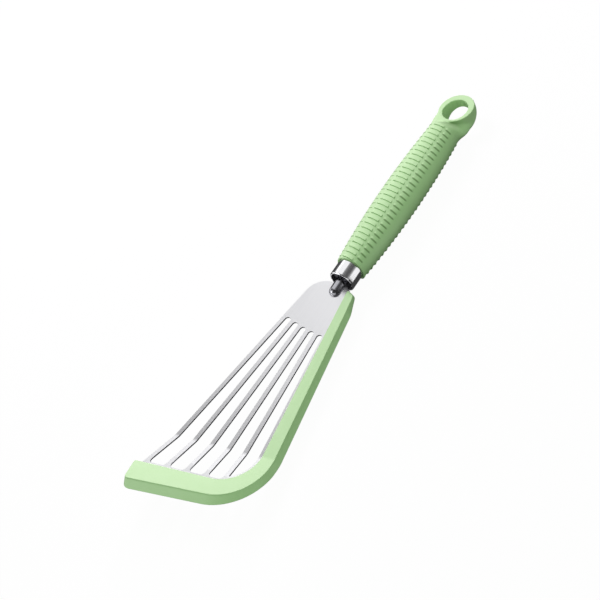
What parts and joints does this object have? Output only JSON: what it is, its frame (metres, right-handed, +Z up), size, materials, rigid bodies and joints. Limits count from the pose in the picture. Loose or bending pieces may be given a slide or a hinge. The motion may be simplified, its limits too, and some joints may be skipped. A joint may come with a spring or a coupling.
{
  "type": "slotted turner",
  "caption": "Slotted steel kitchen turner with an upturned front lip, a silicone edge strip on its front and right sides, and a soft ribbed grip that ends in a hang loop.",
  "frame": {"origin": "middle of the whole turner's footprint, at the level of its lowest point, the belly of the grip", "axes": "+Y along the handle towards the hang loop, +Z up off the blade, +X to the side that carries the silicone strip"},
  "size_m": [0.0854, 0.3304, 0.0218],
  "materials": {
    "brushed_blade_steel": "stainless sheet with a fine lengthwise brushing",
    "polished_steel": "mirror-polished stainless steel",
    "green_silicone": "pale green silicone, satin",
    "green_grip": "pale green soft-touch rubber, satin, ribbed",
    "core_nylon": "plain moulded nylon, hidden"
  },
  "bodies": {
    "root": {"blade": "brushed_blade_steel", "edge_strip": "green_silicone", "shank_rod": "polished_steel", "ferrule": "polished_steel", "ferrule_disc": "brushed_blade_steel", "handle_core": "core_nylon", "grip": "green_grip"}
  },
  "joints": []
}
